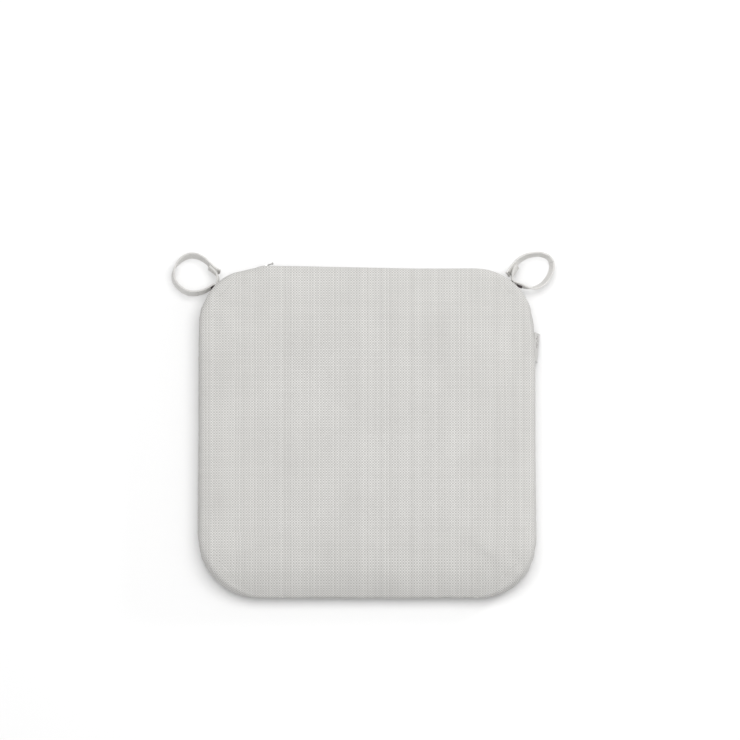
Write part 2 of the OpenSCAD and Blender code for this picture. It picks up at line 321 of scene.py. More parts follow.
def cover_rings(inset):
    """Rings of the top and of the bottom panel, and each ring's way from the seam."""
    paths = [spaced(over_path(p, n, inset, seam_z, 0.014), wall_rings) for p, n in zip(outline, normals)]
    under = [spaced(under_path(inset, seam_z, 0.022), under_rings) for _ in outline]
    made = []
    for group, steps in ((paths, wall_rings), (under, under_rings)):
        rings, ways = [], []
        for k in range(steps + 1):
            insets = np.array([path[k, 0] for path, _ in group])
            heights = np.array([path[k, 1] for path, _ in group])
            share = np.clip((heights - 0.004) / (seam_z + 0.008), 0, 1)
            rings.append(in_space(outline, normals, insets, heights, share))
            ways.append(np.array([way[k] for _, way in group]))
        made.append((rings, ways))
    return made


(top_rings, top_ways), (under_ring_list, under_ways) = cover_rings(swell)
top_panel = Panel(top_rings, True)
top_panel.grid[1:-1, 1:-1, 2] = [[top_height(x, y, swell) for x, y, _ in line]
                                 for line in top_panel.grid[1:-1, 1:-1]]
under_panel = Panel(under_ring_list, False)


swell_frames = 20


def inflated(points, faces, held):
    """Blows the closed cover up as cloth, with its seam and underside held."""
    body = make_object("cover_in_the_making", points, faces)
    body.vertex_groups.new(name="held").add([int(i) for i in held], 1.0, "ADD")
    cloth = body.modifiers.new("Cloth", "CLOTH")
    for key, value in (("quality", 6), ("mass", 0.25), ("tension_stiffness", 15),
                       ("compression_stiffness", 15), ("shear_stiffness", 5),
                       ("bending_stiffness", 0.4), ("vertex_group_mass", "held"),
                       ("use_pressure", True), ("uniform_pressure_force", 4)):
        setattr(cloth.settings, key, value)
    cloth.settings.effector_weights.gravity = 0
    cloth.collision_settings.use_collision = False
    cloth.point_cache.frame_start = 1
    cloth.point_cache.frame_end = swell_frames
    for step in range(1, swell_frames + 1):
        scene.frame_set(step)
    blown = body.evaluated_get(bpy.context.evaluated_depsgraph_get())
    settled = np.array([v.co for v in blown.data.vertices])
    bpy.data.objects.remove(body)
    scene.frame_set(1)
    return settled


ring_size = 4 * side_steps


def closed_form(upper, lower):
    """One closed mesh from two panels that share their first ring."""
    shift = len(upper.points()) - ring_size
    points = np.vstack([upper.points(), lower.points()[ring_size:]])
    faces = [tuple(i if i < ring_size else i + shift for i in f) for f in lower.faces()]
    return points, upper.faces() + faces


top_points = top_panel.points()
start_points, start_faces = closed_form(top_panel, under_panel)
resting = [i for i in range(len(top_points), len(start_points)) if start_points[i][2] < 0.0005]
held_points = list(range(ring_size)) + resting
swell_cap = 0.0016                              # the most of that swelling that is kept
settled_points = inflated(start_points, start_faces, held_points)
moved = settled_points - start_points
far = np.maximum(np.linalg.norm(moved, axis=1), 1e-9)[:, None]
cover_points = start_points + moved / far * np.tanh(far / swell_cap) * swell_cap

# Seam: both panels turn in at it, and over the zip they part and fold back on their tapes.
zip_opening = 0.0040
seam_gap = 0.00012
at_rear = normals[:, 1] > 0.9
opened = np.where(at_rear, smooth((zip_half + 0.002 - np.abs(outline[:, 0])) / 0.006), 0)
gap = seam_gap + opened * zip_opening


def turned_in(ring, side):
    """Three rings that take a panel's edge inwards, flat in the seam or folded at the zip."""
    folded = ((0.0006, -0.0003), (0.0011, 0.0004), (0.0012, 0.0018))
    closed = ((0.0010, -0.0000), (0.0030, 0.0001), (0.0062, 0.0003))
    rings = []
    for (fold_in, fold_up), (flat_in, flat_up) in zip(folded, closed):
        inward = opened * fold_in + (1 - opened) * flat_in
        upward = opened * fold_up + (1 - opened) * flat_up
        moved_in = ring[:, :2] - normals * inward[:, None]
        rings.append(np.column_stack([moved_in, ring[:, 2] + side * upward]))
    return rings[::-1]


def finished_rings(first, count, side):
    """A panel's settled rings, parted from the other panel by the gap along the seam."""
    rings = []
    for k in range(count + 1):
        ring = cover_points[first(k):first(k) + ring_size].copy()
        ring[:, 2] += side * gap * max(0, 1 - k / 4)
        rings.append(ring)
    return turned_in(rings[0], side) + rings


def laid_flat(ring_way, rings):
    """Where each ring's points lay in the flat cloth, measured out from the last ring."""
    total = ring_way[-1]
    last = rings[-1][:, :2]
    return [last + normals * (total - way)[:, None] for way in ring_way]


def keep_lay(made, lays):
    """Stores with every point where it lay in the flat cloth."""
    placed = made.data.attributes.new("lay", "FLOAT_VECTOR", "POINT")
    placed.data.foreach_set("vector", np.array(lays).ravel())


def with_attributes(made, lay, way):
    """Stores the flat cloth's place and the way from the seam with every point."""
    keep_lay(made, np.column_stack([lay, np.zeros(len(lay))]))
    seamward = made.data.attributes.new("seamward", "FLOAT", "POINT")
    seamward.data.foreach_set("value", np.asarray(way, float))


def panel_object(name, ring_first, ways, grid_first, count, side):
    rings = finished_rings(ring_first, count, side)
    panel = Panel(rings, side > 0)
    inner = side_steps - 1
    panel.grid[1:-1, 1:-1] = cover_points[grid_first:grid_first + inner ** 2].reshape(inner, inner, 3)
    flat = laid_flat(ways, rings)
    lips = [flat[0] + normals * inward for inward in (0.0075, 0.0042, 0.0013)]
    flat_panel = Panel(lips + flat, True)
    distance = [-ways[0] - 0.0075, -ways[0] - 0.0042, -ways[0] - 0.0013] + list(ways)
    reach = np.concatenate(distance + [np.full(inner ** 2, float(np.max(ways[-1])) + 0.02)])
    made = make_object(name, panel.points(), panel.faces())
    with_attributes(made, flat_panel.points(), reach)
    return made


def top_ring_first(k):
    return k * ring_size


def under_ring_first(k):
    return 0 if k == 0 else len(top_points) + (k - 1) * ring_size


top_cover = panel_object("top_cover_panel", top_ring_first, top_ways,
                         (wall_rings + 1) * ring_size, wall_rings, 1)
bottom_cover = panel_object("bottom_cover_panel", under_ring_first, under_ways,
                            len(top_points) + under_rings * ring_size, under_rings, -1)


def bake_modifiers(made):
    """Puts what an object's modifiers make into its own mesh."""
    final = bpy.data.meshes.new_from_object(made.evaluated_get(bpy.context.evaluated_depsgraph_get()))
    made.modifiers.clear()
    old, made.data = made.data, final
    bpy.data.meshes.remove(old)
    final.name = made.name


def subdivided(made):
    finer = made.modifiers.new("finer", "SUBSURF")
    finer.levels = finer.render_levels = 1
    bake_modifiers(made)


def pucker(made, depth):
    """Short folds beside the seam, deepest at the corners, and a slight unevenness all over."""
    mesh = made.data
    count = len(mesh.vertices)
    points, outward, way = np.zeros(count * 3), np.zeros(count * 3), np.zeros(count)
    mesh.vertices.foreach_get("co", points)
    mesh.vertices.foreach_get("normal", outward)
    mesh.attributes["seamward"].data.foreach_get("value", way)
    points, outward = points.reshape(-1, 3), outward.reshape(-1, 3)
    shift = np.zeros(count)
    for i, (p, w) in enumerate(zip(points, way)):
        level = Vector((p[0], p[1], p[2] * 0.15))
        corner = smooth((abs(p[0]) + abs(p[1]) - 0.27) / 0.06)
        near = math.exp(-max(w, 0) / 0.007)
        fold = noise.noise(level * 95) + 0.5 * noise.noise(level * 210)
        shift[i] = depth * near * fold * (0.35 + 0.65 * corner)
        if w > 0.02:
            shift[i] += 0.00022 * noise.noise(Vector(p) * 16)
    points += outward * shift[:, None]
    mesh.vertices.foreach_set("co", points.ravel())
    mesh.update()


def thickened(made, thickness):
    layer = made.modifiers.new("cloth thickness", "SOLIDIFY")
    layer.thickness = thickness
    layer.offset = -1
    bake_modifiers(made)


def shade_smooth(made):
    made.data.polygons.foreach_set("use_smooth", [True] * len(made.data.polygons))


for panel in (top_cover, bottom_cover):
    subdivided(panel)
    pucker(panel, 0.0009)
    thickened(panel, fabric_t)
    shade_smooth(panel)


def add_node(tree, kind, **settings):
    made = tree.nodes.new(kind)
    for key, value in settings.items():
        setattr(made, key, value)
    return made


def feed(tree, socket, value):
    """Links a socket or sets a value."""
    if isinstance(value, bpy.types.NodeSocket):
        tree.links.new(value, socket)
    else:
        socket.default_value = value


def calc(tree, operation, *values, clamp=False):
    made = add_node(tree, "ShaderNodeMath", operation=operation, use_clamp=clamp)
    for socket, value in zip(made.inputs, values):
        feed(tree, socket, value)
    return made.outputs[0]


def blend_colour(tree, share, first, second, mode="MIX"):
    made = add_node(tree, "ShaderNodeMix", data_type="RGBA", blend_type=mode)
    feed(tree, made.inputs["Factor"], share)
    feed(tree, made.inputs["A"], first)
    feed(tree, made.inputs["B"], second)
    return made.outputs["Result"]


def cloudy(tree, vector, scale, detail=2.0):
    made = add_node(tree, "ShaderNodeTexNoise")
    made.inputs["Scale"].default_value = scale
    made.inputs["Detail"].default_value = detail
    feed(tree, made.inputs["Vector"], vector)
    return made.outputs["Fac"]


def own_place(tree):
    return add_node(tree, "ShaderNodeTexCoord").outputs["Object"]


def group_tree(name, inputs, outputs):
    tree = bpy.data.node_groups.new(name, "ShaderNodeTree")
    for label, kind, value in inputs:
        made = tree.interface.new_socket(label, in_out="INPUT", socket_type=kind)
        if value is not None:
            made.default_value = value
    for label, kind in outputs:
        tree.interface.new_socket(label, in_out="OUTPUT", socket_type=kind)
    return tree, tree.nodes.new("NodeGroupInput"), tree.nodes.new("NodeGroupOutput")


def plain_weave_group():
    """Over-and-under yarns on the flat cloth: how high they stand and which one shows."""
    tree, given, result = group_tree(
        "plain weave",
        [("Lay", "NodeSocketVector", None), ("Warp pitch", "NodeSocketFloat", 0.0016),
         ("Weft pitch", "NodeSocketFloat", 0.0016), ("Wobble", "NodeSocketFloat", 0.0002)],
        [("Height", "NodeSocketFloat"), ("Warp over", "NodeSocketFloat"),
         ("Yarn tone", "NodeSocketFloat"), ("Dark weft", "NodeSocketFloat")])
    lay = given.outputs["Lay"]
    place = add_node(tree, "ShaderNodeSeparateXYZ")
    feed(tree, place.inputs[0], lay)
    drift = add_node(tree, "ShaderNodeTexNoise")
    drift.inputs["Scale"].default_value = 45
    drift.inputs["Detail"].default_value = 2
    feed(tree, drift.inputs["Vector"], lay)
    drift_parts = add_node(tree, "ShaderNodeSeparateXYZ")
    feed(tree, drift_parts.inputs[0], drift.outputs["Color"])

    def yarns(axis, pitch):
        wander = calc(tree, "MULTIPLY", calc(tree, "SUBTRACT", drift_parts.outputs[axis], 0.5),
                      given.outputs["Wobble"])
        return calc(tree, "DIVIDE", calc(tree, "ADD", place.outputs[axis], wander), pitch)

    across = yarns("X", given.outputs["Warp pitch"])
    along = yarns("Y", given.outputs["Weft pitch"])
    wave = calc(tree, "MULTIPLY", calc(tree, "SINE", calc(tree, "MULTIPLY", across, math.pi)),
                calc(tree, "SINE", calc(tree, "MULTIPLY", along, math.pi)))
    over = add_node(tree, "ShaderNodeMapRange", interpolation_type="SMOOTHSTEP")
    feed(tree, over.inputs["Value"], wave)
    over.inputs["From Min"].default_value = -0.38
    over.inputs["From Max"].default_value = -0.02
    tones = []
    for number, seed in ((across, 3.5), (along, 71.5)):
        one = add_node(tree, "ShaderNodeTexWhiteNoise", noise_dimensions="1D")
        feed(tree, one.inputs["W"], calc(tree, "ADD", calc(tree, "FLOOR", number), seed))
        tones.append(one.outputs["Value"])
    tone = add_node(tree, "ShaderNodeMix", data_type="FLOAT")
    feed(tree, tone.inputs["Factor"], over.outputs[0])
    feed(tree, tone.inputs["A"], tones[1])
    feed(tree, tone.inputs["B"], tones[0])
    feed(tree, result.inputs["Height"], calc(tree, "POWER", calc(tree, "ABSOLUTE", wave), 0.5))
    feed(tree, result.inputs["Warp over"], over.outputs[0])
    feed(tree, result.inputs["Yarn tone"], tone.outputs["Result"])
    every_other = calc(tree, "FLOORED_MODULO", calc(tree, "FLOOR", along), 2.0)
    weft_over = calc(tree, "SUBTRACT", 1.0, over.outputs[0])
    feed(tree, result.inputs["Dark weft"], calc(tree, "MULTIPLY", weft_over, every_other))
    return tree


plain_weave = plain_weave_group()


def place_group(tree, group, **values):
    made = add_node(tree, "ShaderNodeGroup", node_tree=group)
    for label, value in values.items():
        feed(tree, made.inputs[label.replace("_", " ")], value)
    return made


def new_finish(name, roughness, sheen=0.0, specular=0.3):
    """A material with an empty Principled shader, and its node tree."""
    finish = bpy.data.materials.new(name)
    finish.use_nodes = True
    shader = finish.node_tree.nodes["Principled BSDF"]
    shader.inputs["Roughness"].default_value = roughness
    shader.inputs["Specular IOR Level"].default_value = specular
    shader.inputs["Sheen Weight"].default_value = sheen
    shader.inputs["Sheen Roughness"].default_value = 0.5
    return finish, finish.node_tree, shader


def coloured(tree, shader, share, first, second):
    """Base colour from first to second."""
    tree.links.new(blend_colour(tree, share, first, second), shader.inputs["Base Color"])


def raised(tree, shader, height, distance):
    bump = add_node(tree, "ShaderNodeBump")
    bump.inputs["Strength"].default_value = 1.0
    bump.inputs["Distance"].default_value = distance
    feed(tree, bump.inputs["Height"], height)
    tree.links.new(bump.outputs["Normal"], shader.inputs["Normal"])


def woven_cloth(name, pale, dark, pitch_x, pitch_y, two_tone, stripe, relief):
    finish, tree, shader = new_finish(name, 0.88, 0.12, 0.2)
    lay = add_node(tree, "ShaderNodeAttribute", attribute_name="lay").outputs["Vector"]
    weave = place_group(tree, plain_weave, Lay=lay, Warp_pitch=pitch_x, Weft_pitch=pitch_y, Wobble=0.0004)
    share = calc(tree, "MULTIPLY", calc(tree, "SUBTRACT", weave.outputs["Warp over"], 0.5), two_tone)
    share = calc(tree, "SUBTRACT", share, calc(tree, "MULTIPLY", weave.outputs["Dark weft"], stripe))
    clouds, fuzz = cloudy(tree, lay, 14, 3), cloudy(tree, lay, 1900, 2)
    for unevenness, amount in ((weave.outputs["Yarn tone"], 0.22), (clouds, 0.35), (fuzz, 0.5)):
        centred = calc(tree, "SUBTRACT", unevenness, 0.5)
        share = calc(tree, "ADD", share, calc(tree, "MULTIPLY", centred, amount))
    share = calc(tree, "ADD", share, 0.55, clamp=True)
    colour = blend_colour(tree, share, (*dark, 1), (*pale, 1))
    # painted shade: the colour is darkened where the weave is low, between the yarns, standing in for the
    # shade in those hollows
    painted_groove_shade = calc(tree, "ADD", calc(tree, "MULTIPLY", weave.outputs["Height"], 0.22), 0.80, clamp=True)
    painted_groove_shade_colour = add_node(tree, "ShaderNodeCombineColor")
    for channel in ("Red", "Green", "Blue"):
        feed(tree, painted_groove_shade_colour.inputs[channel], painted_groove_shade)
    colour = blend_colour(tree, 1.0, colour, painted_groove_shade_colour.outputs[0], "MULTIPLY")
    tree.links.new(colour, shader.inputs["Base Color"])
    raised(tree, shader, weave.outputs["Height"], relief)
    return finish


warp_pitch = 0.001625
weft_pitch = 0.001595
cover_cloth = woven_cloth("woven cover cloth", (0.74, 0.733, 0.712), (0.42, 0.412, 0.397),
                          warp_pitch, weft_pitch, 0.52, 0.55, 0.00030)
for panel, node in ((top_cover, "top_cover"), (bottom_cover, "bottom_cover")):
    panel.data.materials.clear()
    panel.data.materials.append(cover_cloth)
    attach(panel, "pad")
    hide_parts(node)

# ---- Filling ----------------------------------------------------------------------------
# A cut block of upholstery foam with a sheet of polyester wadding above and below it, all
# in a thin nonwoven liner bag. Each is a closed crowned form that fits inside the cover.
def filling_piece(name, node, inset, low, high, edge):
    """A closed layer between two height functions, with rounded edges, and its CAD node."""
    rings = {1: [], -1: []}
    turn = np.radians([0, 30, 60, 90])
    for side, surface in ((1, high), (-1, low)):
        for step in range(len(turn) + 2):
            out = edge * math.cos(turn[step]) if step < len(turn) else 0
            further = 0.006 * (step - len(turn) + 1) if step >= len(turn) else 0
            at = inset + edge - out + further
            plan = outline - normals * at
            heights = []
            for x, y in plan:
                top, base = high(x, y), low(x, y)
                soft = min(edge, (top - base) / 2)
                end = top if side > 0 else base
                rise = soft * (1 - math.sin(turn[step])) if step < len(turn) else 0
                heights.append(end - side * rise)
            rings[side].append(np.column_stack([plan, heights]))
    shared = np.column_stack([rings[1][0][:, :2], (rings[1][0][:, 2] + rings[-1][0][:, 2]) / 2])
    panels = []
    for side, surface in ((1, high), (-1, low)):
        panel = Panel([shared] + rings[side], side > 0)
        panel.grid[1:-1, 1:-1, 2] = [[surface(x, y) for x, y, _ in line] for line in panel.grid[1:-1, 1:-1]]
        panels.append(panel)
    made = make_object(name, *closed_form(*panels))
    shade_smooth(made)
    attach(made, "pad")
    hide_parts(node)
    return made


def under_cover(depth):
    return lambda x, y: top_height(x, y, swell) - depth


def level(height):
    return lambda x, y: height


layer_z = [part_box(node)[0].z for node in ("inner_liner", "wadding_bottom", "foam_core")]
liner_inset = 0.0074
liner = filling_piece("inner_liner_bag", "inner_liner", liner_inset, level(layer_z[0] + 0.0003),
                      under_cover(0.0030), 0.003)
wadding_upper = filling_piece("wadding_sheet_upper", "wadding_top", liner_inset + 0.0006,
                              under_cover(0.0073), under_cover(0.0035), 0.0018)
wadding_lower = filling_piece("wadding_sheet_lower", "wadding_bottom", liner_inset + 0.0006,
                              level(layer_z[1] + 0.0004), level(layer_z[2] - 0.0002), 0.0023)
foam_block = filling_piece("foam_block", "foam_core", liner_inset + 0.0006, level(layer_z[2]),
                           under_cover(0.0076), 0.0015)


def fleece(name, pale, dark, scale, relief):
    finish, tree, shader = new_finish(name, 0.95, 0.2, 0.1)
    place = own_place(tree)
    fibres = cloudy(tree, place, scale, 5)
    coloured(tree, shader, fibres, (*dark, 1), (*pale, 1))
    raised(tree, shader, fibres, relief)
    return finish


def foam_cells(name, pale, dark):
    finish, tree, shader = new_finish(name, 0.95, 0.0, 0.15)
    place = own_place(tree)
    cells = add_node(tree, "ShaderNodeTexVoronoi", feature="SMOOTH_F1")
    cells.inputs["Scale"].default_value = 900
    feed(tree, cells.inputs["Vector"], place)
    share = calc(tree, "MULTIPLY", cells.outputs["Distance"], 1.6, clamp=True)
    coloured(tree, shader, share, (*dark, 1), (*pale, 1))
    raised(tree, shader, share, 0.0004)
    return finish


nonwoven = fleece("nonwoven liner", (0.86, 0.86, 0.84), (0.74, 0.74, 0.72), 900, 0.0001)
wadding = [fleece(name, (0.9, 0.9, 0.89), (0.7, 0.7, 0.69), 260, 0.0010)
           for name in ("polyester wadding", "polyester wadding under")]
foam = foam_cells("upholstery foam", (0.88, 0.83, 0.66), (0.62, 0.57, 0.42))
for piece, finish, cad_slot in ((liner, nonwoven, "liner_fabric"), (wadding_upper, wadding[0], "wadding"),
                                (wadding_lower, wadding[1], "wadding"), (foam_block, foam, "foam")):
    piece.data.materials.append(finish)

# ---- Seam allowance ---------------------------------------------------------------------
# Both panels' raw edges, turned to the inside of the seam and oversewn together with an
# overlock thread. They hang inside the lower panel, and stop on each side of the zip.
allowance_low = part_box("seam_allowance")[0].z
thread_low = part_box("overlock_thread")[0].z
zip_clear = 0.004


def tube_faces(rings, size):
    """The faces along a row of rings of size points each, and the two end faces."""
    faces = []
    for step in range(rings - 1):
        for k in range(size):
            a, b = step * size + k, step * size + (k + 1) % size
            faces.append((a, b, b + size, a + size))
    last = (rings - 1) * size
    return faces + [tuple(range(size))[::-1], tuple(range(last, last + size))]


def hanging_band(name, node, profile, wave=0.0):
    """A closed band round the inside of the seam, interrupted at the zip; profile is
    (inset, height) points of its section."""
    over_zip = at_rear & (np.abs(outline[:, 0]) < zip_half + zip_clear)
    kept = [i for i in range(ring_size) if not over_zip[i]]
    first = next(i for i in kept if (i - 1) % ring_size not in kept)
    order = [(first + k) % ring_size for k in range(len(kept))]
    points = []
    for step, i in enumerate(order):
        drift = wave * math.sin(step * 2.1)
        for inset, height in profile:
            plan = outline[i] - normals[i] * (inset + drift)
            points.append((plan[0], plan[1], height + wave * math.cos(step * 2.9)))
    made = make_object(name, points, tube_faces(len(order), len(profile)))
    shade_smooth(made)
    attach(made, "pad")
    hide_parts(node)
    return made


allowance = hanging_band("seam_allowance_band", "seam_allowance",
                         [(0.0022, seam_z - 0.0006), (0.0044, 0.012), (0.0052, allowance_low + 0.001),
                          (0.0072, allowance_low + 0.001), (0.0066, 0.012), (0.0046, seam_z - 0.0006)])
overlock = hanging_band("overlock_stitching", "overlock_thread",
                        [(0.0050, allowance_low + 0.0014), (0.0051, thread_low + 0.0005),
                         (0.0062, thread_low), (0.0073, thread_low + 0.0005),
                         (0.0074, allowance_low + 0.0014)],
                        0.00015)
for band in (allowance, overlock):
    keep_lay(band, [v.co for v in band.data.vertices])
allowance.data.materials.append(cover_cloth)


def spun_thread(name, pale, dark):
    finish, tree, shader = new_finish(name, 0.65, 0.15, 0.35)
    place = own_place(tree)
    twist = add_node(tree, "ShaderNodeTexWave", bands_direction="DIAGONAL")
    twist.inputs["Scale"].default_value = 700
    twist.inputs["Distortion"].default_value = 1.2
    feed(tree, twist.inputs["Vector"], place)
    coloured(tree, shader, twist.outputs["Fac"], (*dark, 1), (*pale, 1))
    raised(tree, shader, twist.outputs["Fac"], 0.00008)
    return finish


pale_thread = spun_thread("pale sewing thread", (0.76, 0.75, 0.72), (0.60, 0.59, 0.56))
overlock.data.materials.append(pale_thread)

# ---- Zip --------------------------------------------------------------------------------
# A coil zip in the rear seam: two nylon coils sewn to woven tapes behind the folded edges
# of the panels, metal stops at the ends, and a cast slider parked at the left with its pull.
def tube(path, radius, sides=6):
    """A round tube along points in space."""
    path = np.array(path, float)
    ahead = np.gradient(path, axis=0)
    ahead /= np.linalg.norm(ahead, axis=1)[:, None]
    points = []
    across = np.cross(ahead[0], (0.0, 0.0, 1.0))
    if np.linalg.norm(across) < 0.1:
        across = np.cross(ahead[0], (0.0, 1.0, 0.0))
    for spot, forward in zip(path, ahead):
        across = across - forward * np.dot(across, forward)
        across /= np.linalg.norm(across)
        upward = np.cross(forward, across)
        for k in range(sides):
            turn = 2 * math.pi * k / sides
            points.append(spot + radius * (across * math.cos(turn) + upward * math.sin(turn)))
    return points, tube_faces(len(path), sides)


def joined(parts):
    """Several meshes' points and faces as one."""
    points, faces = [], []
    for part_points, part_faces in parts:
        shift = len(points)
        points += list(part_points)
        faces += [tuple(i + shift for i in f) for f in part_faces]
    return points, faces


coil_pitch = 0.0015
filament_r = 0.00030
for side in ("upper", "lower"):
    low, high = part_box("zip_coil_" + side)
    middle = (low + high) / 2
    coil_r = (high.z - low.z) / 2 - filament_r
    turns = (high.x - low.x - 0.001) / coil_pitch
    steps = int(turns * 10)
    hand = 1 if side == "upper" else -1
    helix = []
    for k in range(steps + 1):
        angle = hand * 2 * math.pi * turns * k / steps
        helix.append((low.x + 0.0005 + coil_pitch * turns * k / steps,
                      middle.y + coil_r * math.cos(angle), middle.z + coil_r * 1.05 * math.sin(angle)))
    coil = make_object("zip_coil_filament_" + side, *tube(helix, filament_r, 5))
    shade_smooth(coil)
    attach(coil, "pad")
    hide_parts("zip_coil_" + side)
    nylon, tree, shader = new_finish("nylon coil " + side, 0.42, 0.0, 0.45)
    place = own_place(tree)
    coloured(tree, shader, cloudy(tree, place, 400), (0.66, 0.65, 0.62, 1), (0.74, 0.73, 0.70, 1))
    coil.data.materials.append(nylon)


def by_node(node):
    """A CAD node's own object."""
    return next(o for o in bpy.data.objects if o.name == node or o.get("node") == node)


def dressed(node, finish):
    """Puts a material on every slot of a CAD node that stays as it is."""
    cad_piece = by_node(node)
    if not cad_piece.material_slots:
        cad_piece.data.materials.append(finish)
    for held in cad_piece.material_slots:
        held.material = finish


tape_cloth, tree, shader = new_finish("zip tape twill", 0.85, 0.1, 0.25)
place = own_place(tree)
parts = add_node(tree, "ShaderNodeSeparateXYZ")
feed(tree, parts.inputs[0], place)
twill_x, twill_z = (calc(tree, "MULTIPLY", parts.outputs[axis], 5200) for axis in ("X", "Z"))
diagonal = calc(tree, "ADD", twill_x, twill_z)
ribs = calc(tree, "ADD", calc(tree, "MULTIPLY", calc(tree, "SINE", diagonal), 0.5), 0.5)
coloured(tree, shader, ribs, (0.58, 0.57, 0.54, 1), (0.70, 0.69, 0.66, 1))
raised(tree, shader, ribs, 0.0001)
for node in ("zip_tape_upper", "zip_tape_lower"):
    dressed(node, tape_cloth)

cast_metal, tree, shader = new_finish("plated zinc", 0.34)
shader.inputs["Metallic"].default_value = 1.0
place = own_place(tree)
wear = cloudy(tree, place, 700, 4)
coloured(tree, shader, wear, (0.34, 0.34, 0.335, 1), (0.48, 0.48, 0.47, 1))
tree.links.new(calc(tree, "ADD", calc(tree, "MULTIPLY", wear, 0.3), 0.2), shader.inputs["Roughness"])
raised(tree, shader, wear, 0.00005)
for node in ("zip_end_stops", "zip_slider"):
    dressed(node, cast_metal)

painted_metal, tree, shader = new_finish("grey lacquered pull", 0.5)
place = own_place(tree)
chips = cloudy(tree, place, 900, 4)
coloured(tree, shader, chips, (0.30, 0.295, 0.285, 1), (0.44, 0.435, 0.42, 1))
raised(tree, shader, chips, 0.00006)
dressed("zip_pull", painted_metal)

# ---- Zip topstitching -------------------------------------------------------------------
# Two rows of lockstitch hold the folded edges of the panels down on the zip tapes.
from mathutils.bvhtree import BVHTree

stitch_pitch = 0.0030
stitch_r = 0.00028


def stitch(start, end, outward, radius=stitch_r):
    """One raised stitch between two needle holes."""
    start, end, outward = (np.array(v, float) for v in (start, end, outward))
    rises = [radius * (1.5 * math.sin(math.pi * k / 5) - 0.4) for k in range(6)]
    path = [start + (end - start) * k / 5 + outward * rise for k, rise in enumerate(rises)]
    return tube(path, radius)


def surface_tree(made):
    corners = [v.co for v in made.data.vertices]
    return BVHTree.FromPolygons(corners, [tuple(p.vertices) for p in made.data.polygons])


row_off = 0.0022
for side, panel in ((1, top_cover), (-1, bottom_cover)):
    row_z = seam_z + side * (zip_opening + row_off)
    tree_of_panel = surface_tree(panel)
    rows = []
    start_x = -zip_half - 0.002
    while start_x < zip_half + 0.001:
        ends = []
        for x in (start_x + 0.0003, start_x + stitch_pitch - 0.0003):
            behind = Vector((x, half_d + 0.05, row_z))
            spot, facing, _, _ = tree_of_panel.ray_cast(behind, Vector((0, -1, 0)))
            ends.append(spot)
        rows.append(stitch(ends[0], ends[1], facing))
        start_x += stitch_pitch
    row = make_object("zip_topstitching_" + ("upper" if side > 0 else "lower"), *joined(rows))
    row.data.materials.append(pale_thread)
    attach(row, "pad")

# ---- Side label -------------------------------------------------------------------------
# A folded satin ribbon caught in the right side seam, with a few dark woven specks.
label_low, label_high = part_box("side_label")
seam_x = label_low.x - 0.0021
ribbon_gap = 0.00035
columns, rows_down = 24, 14
label_drop = 0.0124
bend_l = 0.0030                                 # the ribbon turns down over this length
points, lays = [], []
for k in range(columns + 1):
    share = k / columns
    y = label_low.y + (label_high.y - label_low.y) * share
    droop = math.radians(82 - 17 * share)
    for side in (1, -1):
        for j in range(rows_down + 1):
            down = label_drop * j / rows_down
            bow = 0.0006 * math.sin(math.pi * j / rows_down) * math.sin(math.pi * share)
            off = ribbon_gap * side * math.sin(math.pi * min(1, (rows_down - j) / 2.5) / 2)
            turned = droop * smooth(down / bend_l)
            bent = min(down, bend_l)
            hang = max(down - bend_l, 0)
            proud = off + bow
            x = seam_x + bent * math.cos(turned / 2) + hang * math.cos(droop) + proud * math.sin(turned)
            z = seam_z - bent * math.sin(turned / 2) - hang * math.sin(droop) + proud * math.cos(turned)
            points.append((x, y, z))
            lays.append((y - label_low.y, side * (label_drop - down), 0))
faces = []
size = 2 * (rows_down + 1)
for k in range(columns):
    for j in range(rows_down):
        a = k * size + j
        faces.append((a, a + 1, a + 1 + size, a + size))
        b = k * size + rows_down + 1 + j
        faces.append((b, b + size, b + size + 1, b + 1))
    a, b = k * size + rows_down, k * size + 2 * rows_down + 1
    faces.append((a, b, b + size, a + size))
label = make_object("side_label_ribbon", points, faces)
keep_lay(label, lays)
thickened(label, 0.00022)
shade_smooth(label)
ribbon, tree, shader = new_finish("label ribbon", 0.5, 0.1, 0.4)
lay = add_node(tree, "ShaderNodeAttribute", attribute_name="lay").outputs["Vector"]
parts = add_node(tree, "ShaderNodeSeparateXYZ")
feed(tree, parts.inputs[0], lay)
weave = place_group(tree, plain_weave, Lay=lay, Warp_pitch=0.00035, Weft_pitch=0.00030, Wobble=0.00005)
cloth = blend_colour(tree, weave.outputs["Warp over"], (0.44, 0.435, 0.42, 1), (0.54, 0.535, 0.52, 1))
specks = add_node(tree, "ShaderNodeTexVoronoi", feature="F1", voronoi_dimensions="2D")
specks.inputs["Scale"].default_value = 430
feed(tree, specks.inputs["Vector"], lay)
mark = calc(tree, "LESS_THAN", specks.outputs["Distance"], 0.36)
for axis, first, last in (("X", 0.016, 0.033), ("Y", 0.0055, 0.0100)):
    for compare, limit in (("GREATER_THAN", first), ("LESS_THAN", last)):
        mark = calc(tree, "MULTIPLY", mark, calc(tree, compare, parts.outputs[axis], limit))
coloured(tree, shader, mark, cloth, (0.22, 0.21, 0.20, 1))
raised(tree, shader, weave.outputs["Height"], 0.00005)
label.data.materials.clear()
label.data.materials.append(ribbon)
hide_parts("side_label")
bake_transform(label)

# ---- Straps and tabs --------------------------------------------------------------------
# Four folded bands of the cover fabric. A long strap and a short tab come
# out at each rear corner; the strap's end closes on the tab with hook and loop patches.
strap_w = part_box("left_strap_tail")[1].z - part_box("left_strap_tail")[0].z
strap_t = 0.0024


